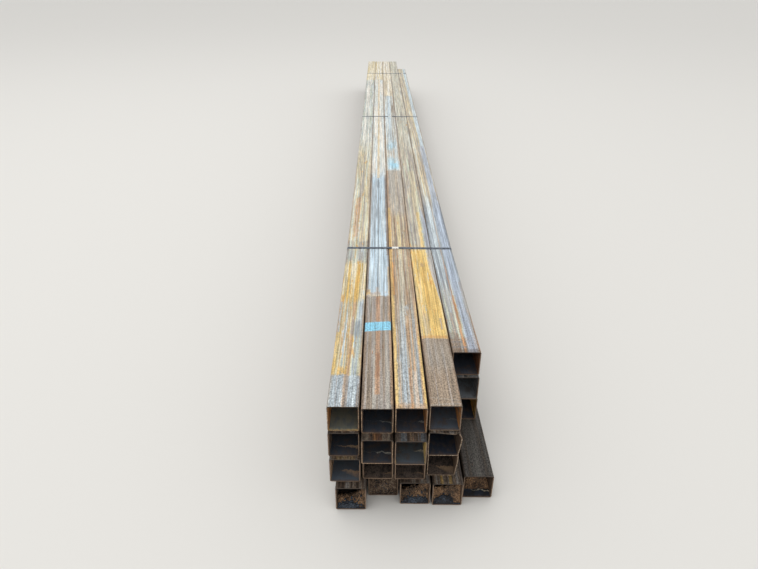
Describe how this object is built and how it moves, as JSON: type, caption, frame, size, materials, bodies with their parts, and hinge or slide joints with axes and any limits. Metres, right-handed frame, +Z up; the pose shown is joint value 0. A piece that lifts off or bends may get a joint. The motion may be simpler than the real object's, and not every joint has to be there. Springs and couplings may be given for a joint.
{
  "type": "stack of square tubing",
  "caption": "Strapped bundle of long square steel tubes with mill scale and light rust, lying flat, ready to be lifted or cut up.",
  "frame": {"origin": "on the floor under the middle of the whole bundle's box", "axes": "+Z up, Y along the tubes with the sawn near ends at -Y, +X to the right as seen from the near end"},
  "size_m": [0.5566, 7.68, 0.4113],
  "materials": {
    "tube_steel": "mill scale with rust streaks",
    "strap_steel": "dark blued steel band",
    "seal_steel": "bright zinc"
  },
  "bodies": {
    "root": {"tube_row_1_a": "tube_steel", "tube_row_1_b": "tube_steel", "tube_row_1_c": "tube_steel", "tube_row_1_d": "tube_steel", "tube_row_1_e": "tube_steel", "tube_row_2_a": "tube_steel", "tube_row_2_b": "tube_steel", "tube_row_2_c": "tube_steel", "tube_row_2_d": "tube_steel", "tube_row_2_e": "tube_steel", "tube_row_3_a": "tube_steel", "tube_row_3_b": "tube_steel", "tube_row_3_c": "tube_steel", "tube_row_3_d": "tube_steel", "tube_row_3_e": "tube_steel", "tube_row_4_a": "tube_steel", "tube_row_4_b": "tube_steel", "tube_row_4_c": "tube_steel", "tube_row_4_d": "tube_steel", "tube_row_4_e": "tube_steel", "strap_1": "strap_steel", "strap_2": "strap_steel", "strap_3": "strap_steel", "seal_1": "seal_steel", "seal_2": "seal_steel", "seal_3": "seal_steel"}
  },
  "joints": []
}
